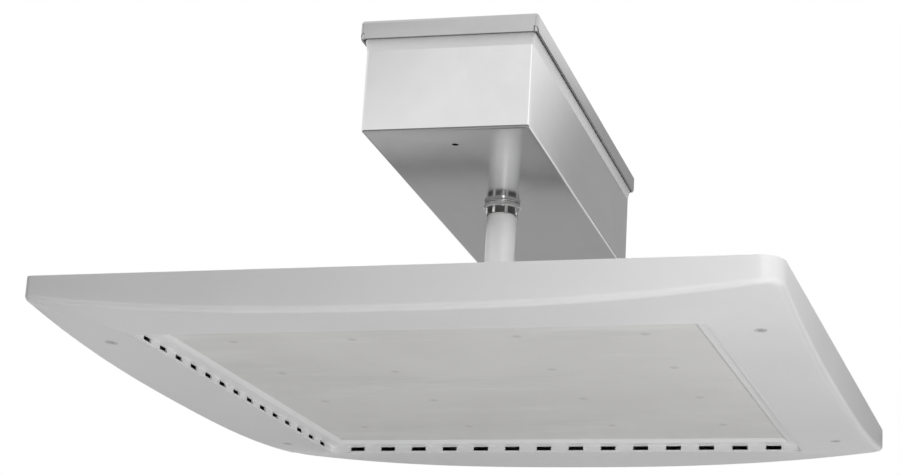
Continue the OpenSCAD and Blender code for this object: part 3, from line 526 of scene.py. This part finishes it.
# Width in millimetres of the rounding that each of these pieces gets on its sharp edges
SOFT_EDGES = {
    "lens_frame": 0.3, "head_connector": 0.4, "hub": 0.5, "hub_locknut": 0.3, "sealing_washer": 0.15,
    "lower_locknut": 0.22, "upper_locknut": 0.3, "bushing": 0.4, "box_body": 0.25, "driver_bracket": 0.3,
    "driver": 0.4, "surge_protector": 0.8, "terminal_block": 0.35, "ground_screw": 0.2, "box_lid": 0.25,
    "hub_screws": 0.25, "sink_screws": 0.25, "lid_screws": 0.25, "bracket_nuts": 0.2, "driver_screws": 0.2,
    "surge_nuts": 0.2, "terminal_nuts": 0.2, "cover_screws": 0.1,
}
BODY_OF = {node: body for body, nodes in frame["record"]["behaviour"]["bodies"].items() for node in nodes}

for node, finish in FINISH_OF.items():
    mesh = frame["nodes"][node].data
    mesh.materials.clear()
    mesh.materials.append(finish.material)


def sharpen(mesh, angle=32):
    """Smooth shading with sharp edges where faces meet at more than an angle in degrees."""
    mesh.shade_smooth()
    mesh.set_sharp_from_angle(angle=math.radians(angle))


def piece_from(bm, name, node, finish, angle=32):
    """A finished piece that stands for one CAD node and rides on that node's body."""
    mesh = bpy.data.meshes.new(name)
    bm.to_mesh(mesh)
    bm.free()
    mesh.materials.append(finish.material)
    sharpen(mesh, angle)
    piece = bpy.data.objects.new(name, mesh)
    bpy.context.scene.collection.objects.link(piece)
    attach(piece, BODY_OF[node])
    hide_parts(node)
    return piece


def close_shell(bm):
    """Merge the doubles of a new shell and turn its faces outwards."""
    bmesh.ops.remove_doubles(bm, verts=bm.verts, dist=MERGE_GAP)
    bmesh.ops.recalc_face_normals(bm, faces=bm.faces)


def softened(node, width):
    """A merged copy of a CAD node with its edges rounded a little, as a formed or moulded piece has."""
    bm = bmesh.new()
    bm.from_mesh(frame["nodes"][node].data)
    bmesh.ops.remove_doubles(bm, verts=bm.verts, dist=COPY_MERGE_GAP)
    bmesh.ops.dissolve_limit(bm, angle_limit=FLAT_ANGLE, verts=bm.verts, edges=bm.edges)
    piece = piece_from(bm, node + "_finished", node, FINISH_OF[node])
    soft = piece.modifiers.new("rounded_edges", "BEVEL")
    soft.width = width
    soft.segments = ROUND_SEGMENTS
    soft.limit_method = "ANGLE"
    soft.angle_limit = ROUND_ANGLE
    soft.harden_normals = True
    soft.use_clamp_overlap = True


def corner_radius(point):
    """Radius of the cover's corner that is nearest to a point of its outline."""
    return HEAD_CORNERS[(math.copysign(1, point.x), math.copysign(1, point.y))]


def cover_place(vert):
    """Outward normal of the cover's outline at one vertex, and how far along its side that is."""
    x, y = vert.co.x, vert.co.y
    radius = corner_radius(vert.co)
    reach = HEAD_HALF - radius
    if abs(x) > reach and abs(y) > reach:
        out = Vector((abs(x) - reach, abs(y) - reach)).normalized()
        return Vector((math.copysign(out.x, x), math.copysign(out.y, y))), reach + radius * out.x * out.y
    if abs(x) > reach:
        return Vector((math.copysign(1, x), 0)), y
    return Vector((0, math.copysign(1, y))), x


def ring_point(vert, half, corner, z):
    """The point of another rounded square that belongs to an outline vertex, at height z."""
    x, y = vert.co.x, vert.co.y
    reach, inner = HEAD_HALF - corner_radius(vert.co), half - corner
    normal, along = cover_place(vert)
    if abs(x) > reach and abs(y) > reach:
        centre = Vector((math.copysign(inner, x), math.copysign(inner, y)))
        return Vector((centre.x + corner * normal.x, centre.y + corner * normal.y, z))
    if abs(x) > reach:
        return Vector((half * normal.x, y * inner / reach, z))
    return Vector((x * inner / reach, half * normal.y, z))


def edge_at(along):
    """Depth of the cover's lower edge at a place along its side."""
    return EDGE_DEPTH - EDGE_RISE * (abs(along) / HEAD_HALF) ** EDGE_CURVE


def cover_section(vert):
    """The cover's section at one outline vertex: down the outside, in to the mouth and back up the inside."""
    normal, along = cover_place(vert)
    edge = Vector((vert.co.x, vert.co.y))
    lip = ring_point(vert, MOUTH_HALF, MOUTH_CORNER, -MOUTH_DEPTH)
    depth = edge_at(along)
    slope = math.atan2(depth - MOUTH_DEPTH, (edge - lip.xy).length)
    turn = math.pi / 2 + slope
    wall_end = -(depth - EDGE_R * math.tan(turn / 2))
    inner_r = EDGE_R - COVER_T

    def at(inward, z):
        place = edge - normal * inward
        return Vector((place.x, place.y, z))

    points = [at(0, 0), at(0, wall_end / 2)]
    for k in range(EDGE_STEPS + 1):
        a = turn * k / EDGE_STEPS
        points.append(at(EDGE_R * (1 - math.cos(a)), wall_end - EDGE_R * math.sin(a)))
    start = points[-1]
    points += [start.lerp(lip, k / BAND_STEPS) for k in range(1, BAND_STEPS + 1)]
    rise = Vector((0, 0, COVER_T))
    points.append(lip + rise)
    for k in range(EDGE_STEPS // 2 + 1):
        a = turn * (1 - 2 * k / EDGE_STEPS)
        points.append(at(EDGE_R - inner_r * math.cos(a), wall_end - inner_r * math.sin(a)))
    points.append(at(COVER_T, -COVER_T))
    points += [ring_point(vert, FLANGE_HALF, FLANGE_CORNER, z) for z in (-COVER_T, 0)]
    return points


def cover_outline(bm):
    """Rounded square of loose edges in the rim plane, with close points along its sides."""
    bmesh.ops.create_grid(bm, x_segments=1, y_segments=1, size=HEAD_HALF)
    for tip in bm.verts[:]:
        bmesh.ops.bevel(
            bm, geom=[tip], offset=corner_radius(tip.co), offset_type="OFFSET", segments=14, profile=0.5,
            affect="VERTICES", material=-1,
        )
    long_edges = [e for e in bm.edges if e.calc_length() > HEAD_HALF]
    bmesh.ops.subdivide_edges(bm, edges=long_edges, cuts=47)
    bmesh.ops.delete(bm, geom=bm.faces[:], context="FACES_ONLY")
    return bm.edges[:]


def countersink_cutter():
    """Solid in the shape of the four countersunk screw holes, to take out of the cover."""
    bm = bmesh.new()
    face = cover_screw_face()
    start, cone_low, cone_high, end = SINK_HEIGHTS
    head_r = COVER_SCREW_R + SCREW_GAP
    parts = (
        (head_r, head_r, start, cone_low), (head_r, SCREW_HOLE_R, cone_low, cone_high),
        (SCREW_HOLE_R, SCREW_HOLE_R, cone_high, end),
    )
    for sx in (-1, 1):
        for sy in (-1, 1):
            for r1, r2, low, high in parts:
                place = Matrix.Translation((COVER_SCREW.x * sx, COVER_SCREW.y * sy, face + (low + high) / 2))
                bmesh.ops.create_cone(
                    bm, cap_ends=True, segments=40, radius1=r1, radius2=r2, depth=high - low, matrix=place
                )
    mesh = bpy.data.meshes.new("countersinks")
    bm.to_mesh(mesh)
    bm.free()
    cutter = bpy.data.objects.new("countersinks", mesh)
    bpy.context.scene.collection.objects.link(cutter)
    return cutter


def cover_screw_face():
    """Height of the cover's outer face under its screws."""
    t = (COVER_SCREW.x - MOUTH_HALF) / (HEAD_HALF - MOUTH_HALF)
    mouth_reach = MOUTH_HALF - MOUTH_CORNER
    side_reach = HEAD_HALF - SOLID_CORNER
    along = COVER_SCREW.y * side_reach / (mouth_reach + (side_reach - mouth_reach) * t)
    return -(MOUTH_DEPTH + (edge_at(along) - MOUTH_DEPTH) * t)


def sweep_sections(bm, ring, section_at):
    """Closed tube round a ring of edges, with the section that section_at gives for each vertex."""
    sections = {v: section_at(v) for v in bm.verts}
    count = len(next(iter(sections.values())))
    for vert, points in sections.items():
        vert.co = points[0]
    for k in list(range(1, count)) + [0]:
        made = bmesh.ops.extrude_edge_only(bm, edges=ring)["geom"]
        fresh = {g for g in made if isinstance(g, bmesh.types.BMVert)}
        following = {}
        for vert in fresh:
            before = next(e.other_vert(vert) for e in vert.link_edges if e.other_vert(vert) in sections)
            following[vert] = sections[before]
        for vert, points in following.items():
            vert.co = points[k]
        ring = [g for g in made if isinstance(g, bmesh.types.BMEdge)]
        sections = following
    close_shell(bm)


def make_box_rim():
    """Rolled upper rim of the box, which stands out under the lid's flange and almost fills the gap."""
    bm = bmesh.new()
    bmesh.ops.create_grid(bm, x_segments=1, y_segments=1, size=1)
    bmesh.ops.scale(bm, verts=bm.verts, vec=(BOX_HALF.x, BOX_HALF.y, 1))
    bmesh.ops.bevel(
        bm, geom=bm.verts[:], offset=BEND_R, offset_type="OFFSET", segments=6, profile=0.5, affect="VERTICES",
        material=-1,
    )
    bmesh.ops.delete(bm, geom=bm.faces[:], context="FACES_ONLY")

    def section(vert):
        x, y = vert.co.x, vert.co.y
        past_x, past_y = (max(abs(v) - half + BEND_R, 0) for v, half in ((x, BOX_HALF.x), (y, BOX_HALF.y)))
        out = Vector((past_x, past_y)).normalized()
        out = Vector((math.copysign(out.x, x), math.copysign(out.y, y)))
        return [
            Vector((x + out.x * off * MM, y + out.y * off * MM, LID_EDGE_Z + up * MM))
            for off, up in RIM_SECTION
        ]

    sweep_sections(bm, bm.edges[:], section)
    bmesh.ops.transform(bm, matrix=BOX_PLACE, verts=bm.verts)
    piece_from(bm, "box_rim", "box_body", rim_sheet, 50)


def make_lid_welds():
    """Welds that close the open corners between the lid's flanges."""
    bm = bmesh.new()
    for sx in (-1, 1):
        for sy in (-1, 1):
            x, y = sx * (BOX_HALF.x + WELD_OUT), sy * (BOX_HALF.y + WELD_OUT)
            place = BOX_PLACE @ Matrix.Translation((x, y, (WELD_LOW + WELD_HIGH) / 2))
            bmesh.ops.create_cone(
                bm, cap_ends=True, segments=24, radius1=WELD_R, radius2=WELD_R, depth=WELD_HIGH - WELD_LOW,
                matrix=place,
            )
    piece_from(bm, "lid_welds", "box_lid", lid_sheet, 40)


def make_head_cover():
    """White cover of the head, with its rounded, arched edge and its four countersunk holes."""
    bm = bmesh.new()
    sweep_sections(bm, cover_outline(bm), cover_section)
    cover = piece_from(bm, "head_cover_shell", "head_cover", white_powder, 40)
    cutter = countersink_cutter()
    cut = cover.modifiers.new("countersinks", "BOOLEAN")
    cut.operation = "DIFFERENCE"
    cut.solver = "EXACT"
    cut.use_self = True
    cut.object = cutter
    evaluated = cover.evaluated_get(bpy.context.evaluated_depsgraph_get())
    mesh = bpy.data.meshes.new_from_object(evaluated)
    cover.modifiers.clear()
    cover.data = mesh
    sharpen(mesh, 40)
    bpy.data.objects.remove(cutter)


def lathe(bm, profile):
    """Closed section of (radius, height) points turned once round the nipple's axis."""
    verts = [bm.verts.new((r, 0, z)) for r, z in profile]
    edges = [bm.edges.new((verts[i - 1], verts[i])) for i in range(len(verts))]
    bmesh.ops.spin(
        bm, geom=verts + edges, cent=(0, 0, 0), axis=(0, 0, 1), angle=2 * math.pi, steps=LATHE_STEPS,
        use_merge=True,
    )


def add_thread(bm, start, end):
    """Ridge of a screw thread between two heights, wound round the nipple's root."""
    root, crest = PIPE_R - THREAD_DEPTH - THREAD_SINK, PIPE_R - CREST_GAP
    section = ((root, -THREAD_FOOT), (crest, -THREAD_CREST), (crest, THREAD_CREST), (root, THREAD_FOOT))
    first = start + 0.5 * THREAD_PITCH
    turns = (end - start) / THREAD_PITCH - 1
    count = round(turns * THREAD_STEPS)
    verts = [bm.verts.new((r, 0, first + k * THREAD_PITCH)) for r, k in section]
    edges = [bm.edges.new((verts[i - 1], verts[i])) for i in range(4)]
    bmesh.ops.spin(
        bm, geom=verts + edges, cent=(0, 0, 0), axis=(0, 0, 1), dvec=(0, 0, THREAD_PITCH / THREAD_STEPS),
        angle=2 * math.pi * count / THREAD_STEPS, steps=count,
    )
    bmesh.ops.holes_fill(bm, edges=[e for e in bm.edges if e.is_boundary], sides=4)


def paint_skirt_shade():
    """Wall between the lugs of the locknut under the box, painted dark for the shade that falls there."""
    mesh = bpy.data.objects["lower_locknut_finished"].data
    mesh.materials.append(thread_painted_shade.material)
    for face in mesh.polygons:
        upright = abs(face.normal.z) < 0.5
        if upright and face.center.z < SKIRT_TOP and face.center.xy.length < SKIRT_WALL_R:
            face.material_index = 1


def make_nipple():
    """Painted pipe with bare threads at both ends."""
    root, skin = PIPE_R - THREAD_DEPTH, PIPE_R - PAINT_GAP
    end_r = root - BARREL_INSET
    low_end, high_end = THREAD_LOW_END - THREAD_DEPTH, THREAD_HIGH_START + THREAD_DEPTH
    bm = bmesh.new()
    lathe(bm, [
        (PIPE_BORE, low_end), (end_r, low_end), (skin, THREAD_LOW_END),
        (skin, THREAD_HIGH_START), (end_r, high_end), (PIPE_BORE, high_end),
    ])
    close_shell(bm)
    piece_from(bm, "nipple_barrel", "nipple", pipe_paint, 24)
    for name, low, high in (
        ("nipple_thread_low", PIPE_LOW, THREAD_LOW_END), ("nipple_thread_high", THREAD_HIGH_START, PIPE_TOP)
    ):
        bm = bmesh.new()
        lathe(bm, [
            (PIPE_BORE, low), (root - PIPE_CHAMFER / 2, low), (root, low + PIPE_CHAMFER),
            (root, high - PIPE_CHAMFER), (root - PIPE_CHAMFER / 2, high), (PIPE_BORE, high),
        ])
        close_shell(bm)
        add_thread(bm, low + PIPE_CHAMFER / 2, high - PIPE_CHAMFER / 2)
        bmesh.ops.recalc_face_normals(bm, faces=bm.faces)
        piece_from(bm, name, "nipple", zinc, 30)


make_head_cover()
make_nipple()
make_box_rim()
make_lid_welds()
for node, width in SOFT_EDGES.items():
    softened(node, width * MM)
paint_skirt_shade()


def make_floor():
    """Pale floor that keeps the shadow and is clear when seen from underneath."""
    bm = bmesh.new()
    bmesh.ops.create_grid(bm, x_segments=1, y_segments=1, size=FLOOR_HALF)
    bmesh.ops.translate(bm, verts=bm.verts, vec=(0, 0, FLOOR_Z))
    mesh = bpy.data.meshes.new("floor")
    bm.to_mesh(mesh)
    bm.free()
    floor = bpy.data.objects.new("floor", mesh)
    bpy.context.scene.collection.objects.link(floor)
    material = bpy.data.materials.new("pale_floor")
    material.use_nodes = True
    tree = material.node_tree
    shader = tree.nodes["Principled BSDF"]
    shader.inputs["Base Color"].default_value = grey(0.86)
    shader.inputs["Roughness"].default_value = 0.9
    shader.inputs["Emission Color"].default_value = grey(1.0)
    path = tree.nodes.new("ShaderNodeLightPath")
    glow = math_in(tree, "MULTIPLY", path.outputs["Is Camera Ray"], FLOOR_GLOW)
    tree.links.new(glow, shader.inputs["Emission Strength"])
    clear = tree.nodes.new("ShaderNodeBsdfTransparent")
    back = tree.nodes.new("ShaderNodeNewGeometry")
    choose = tree.nodes.new("ShaderNodeMixShader")
    tree.links.new(back.outputs["Backfacing"], choose.inputs["Fac"])
    tree.links.new(shader.outputs["BSDF"], choose.inputs[1])
    tree.links.new(clear.outputs["BSDF"], choose.inputs[2])
    tree.links.new(choose.outputs["Shader"], tree.nodes["Material Output"].inputs["Surface"])
    mesh.materials.append(material)


def make_world(ambient, seen):
    """Even studio light; the camera and mirror rays see the white background."""
    world = bpy.data.worlds.new("studio")
    bpy.context.scene.world = world
    world.use_nodes = True
    tree = world.node_tree
    soft = tree.nodes["Background"]
    soft.inputs["Color"].default_value = grey(1.0)
    soft.inputs["Strength"].default_value = ambient
    white = tree.nodes.new("ShaderNodeBackground")
    white.inputs["Color"].default_value = grey(1.0)
    white.inputs["Strength"].default_value = seen
    path = tree.nodes.new("ShaderNodeLightPath")
    choose = tree.nodes.new("ShaderNodeMixShader")
    mirror = math_in(tree, "MAXIMUM", path.outputs["Is Glossy Ray"], path.outputs["Is Transmission Ray"])
    direct = math_in(tree, "MAXIMUM", path.outputs["Is Camera Ray"], mirror)
    tree.links.new(direct, choose.inputs["Fac"])
    tree.links.new(soft.outputs["Background"], choose.inputs[1])
    tree.links.new(white.outputs["Background"], choose.inputs[2])
    tree.links.new(choose.outputs["Shader"], tree.nodes["World Output"].inputs["Surface"])


def soft_lamp(name, place, target, size, watts, mirrored=True, matt=True):
    """Rectangular lamp turned to a target; mirror-like or matt surfaces can be left out of its light."""
    lamp = bpy.data.lights.new(name, "AREA")
    lamp.shape = "RECTANGLE"
    lamp.size, lamp.size_y = size
    lamp.energy = watts
    piece = bpy.data.objects.new(name, lamp)
    piece.location = place
    piece.rotation_euler = (Vector(target) - Vector(place)).to_track_quat("-Z", "Y").to_euler()
    bpy.context.scene.collection.objects.link(piece)
    piece.visible_camera = False
    piece.visible_glossy = mirrored
    piece.visible_diffuse = matt
    return piece


def light_only(lamp, *names):
    """Keep a lamp's light to the named pieces."""
    lit = bpy.data.collections.new(lamp.name + "_lit")
    for name in names:
        lit.objects.link(bpy.data.objects[name])
    lamp.light_linking.receiver_collection = lit


def make_camera():
    """The photograph's viewpoint: below the head, from the near side and a little from the right."""
    level = Vector((math.cos(CAMERA_TURN), -math.sin(CAMERA_TURN), 0))
    ahead = Vector((math.sin(CAMERA_TURN), math.cos(CAMERA_TURN), 0)) * math.cos(CAMERA_PITCH)
    forward = ahead + Vector((0, 0, math.sin(CAMERA_PITCH)))
    upright = level.cross(forward)
    right = level * math.cos(CAMERA_ROLL) + upright * math.sin(CAMERA_ROLL)
    up = upright * math.cos(CAMERA_ROLL) - level * math.sin(CAMERA_ROLL)
    lens = bpy.data.cameras.new("camera")
    lens.sensor_fit = "HORIZONTAL"
    lens.sensor_width = SENSOR_WIDTH
    lens.lens = LENS_LENGTH
    lens.clip_start, lens.clip_end = 0.01, 50.0
    camera = bpy.data.objects.new("camera", lens)
    axes = Matrix((right, up, -forward)).transposed().to_4x4()
    camera.matrix_world = Matrix.Translation(CAMERA_PLACE) @ axes
    bpy.context.scene.collection.objects.link(camera)
    bpy.context.scene.camera = camera


def grey_card(name, place, target, size, tone, middle, soft_from, soft_to):
    """Card beside the light that only mirror-like surfaces see; its tone fades to white round its middle."""
    bm = bmesh.new()
    bmesh.ops.create_grid(bm, x_segments=1, y_segments=1, size=0.5)
    bmesh.ops.scale(bm, verts=bm.verts, vec=(size[0], size[1], 1))
    turn = (Vector(target) - Vector(place)).to_track_quat("-Z", "Y").to_matrix().to_4x4()
    bmesh.ops.transform(bm, matrix=Matrix.Translation(place) @ turn, verts=bm.verts)
    mesh = bpy.data.meshes.new(name)
    bm.to_mesh(mesh)
    bm.free()
    material = bpy.data.materials.new(name)
    material.use_nodes = True
    tree = material.node_tree
    tree.nodes.remove(tree.nodes["Principled BSDF"])
    glow = node_in(tree, "ShaderNodeEmission")
    coords = node_in(tree, "ShaderNodeTexCoord")
    away = node_in(tree, "ShaderNodeVectorMath", operation="DISTANCE")
    away.inputs[1].default_value = middle
    tree.links.new(coords.outputs["Object"], away.inputs[0])
    glow.inputs["Color"].default_value = grey(1.0)
    tree.links.new(mapped(tree, away.outputs["Value"], soft_from, soft_to, tone), glow.inputs["Strength"])
    tree.links.new(glow.outputs["Emission"], tree.nodes["Material Output"].inputs["Surface"])
    mesh.materials.append(material)
    card = bpy.data.objects.new(name, mesh)
    bpy.context.scene.collection.objects.link(card)
    card.visible_camera = card.visible_diffuse = card.visible_shadow = card.visible_transmission = False


make_floor()
make_world(ambient=0.08, seen=1.0)
soft_lamp(
    "key_right", place=(0.43, -0.58, 0.19), target=(0.20, -0.24, -0.01), size=(0.25, 0.25), watts=1.25,
    mirrored=False,
)
soft_lamp(
    "front_low", place=(0.15, -1.15, -1.15), target=(0.0, -0.1, 0.0), size=(0.7, 0.5), watts=2,
    mirrored=False,
)
strip = soft_lamp(
    "edge_strip", place=(-0.45, -1.5, -0.24), target=(-0.10, -0.24, -0.02), size=(1.2, 0.05), watts=4.5,
    matt=False,
)
light_only(strip, "head_cover_shell")
neck = soft_lamp(
    "neck_light", place=(0.36, -1.0, -0.17), target=(0.0, 0.0, 0.09), size=(0.12, 0.08), watts=2.8,
)
light_only(neck, "nipple_barrel", "sealing_washer_finished", "lower_locknut_finished")
bend_side = soft_lamp(
    "bend_side", place=(1.15, -0.52, 0.49), target=(0.056, -0.16, 0.15), size=(0.7, 0.5), watts=0.45,
    matt=False,
)
bend_low = soft_lamp(
    "bend_low", place=(0.48, 1.32, -0.34), target=(0.056, -0.05, 0.114), size=(0.6, 0.6), watts=0.6,
    matt=False,
)
light_only(bend_side, "box_body_finished")
light_only(bend_low, "box_body_finished")
soft_lamp(
    "fill_left", place=(-2.4, -1.2, 1.4), target=(0.0, 0.0, 0.05), size=(1.6, 1.6), watts=17, mirrored=False,
)
soft_lamp("top", place=(0.2, 0.4, 2.6), target=(0.0, 0.0, 0.0), size=(0.8, 0.8), watts=50, mirrored=False)
soft_lamp(
    "under", place=(0.8, -0.7, -1.0), target=(0.0, 0.0, 0.0), size=(0.9, 0.9), watts=11.0, mirrored=False,
)
grey_card(
    "card_behind", place=(0.33, 0.8, 0.39), target=(0.33, 0.0, 0.39), size=(1.2, 0.78), tone=0.38,
    middle=(0.035, 0.8, 0.18), soft_from=0.30, soft_to=0.50,
)
grey_card(
    "card_low", place=(-0.4, 1.2, -0.38), target=(-0.2, 0.0, 0.10), size=(1.3, 0.7), tone=0.37,
    middle=(-0.4, 1.2, -0.38), soft_from=0.25, soft_to=1.35,
)
grey_card(
    "card_left", place=(-0.40, -0.66, 0.55), target=(-0.40, 0.0, 0.55), size=(0.9, 0.9), tone=0.70,
    middle=(-0.30, -0.66, 0.45), soft_from=0.02, soft_to=0.26,
)
grey_card(
    "card_rim", place=(-0.1, 0.255, -0.002), target=(-0.1, 0.255, 1.0), size=(0.7, 0.026), tone=0.18,
    middle=(-0.1, 0.255, -0.002), soft_from=0.6, soft_to=1.0,
)
make_camera()

view = bpy.context.scene.view_settings
view.view_transform = "Standard"
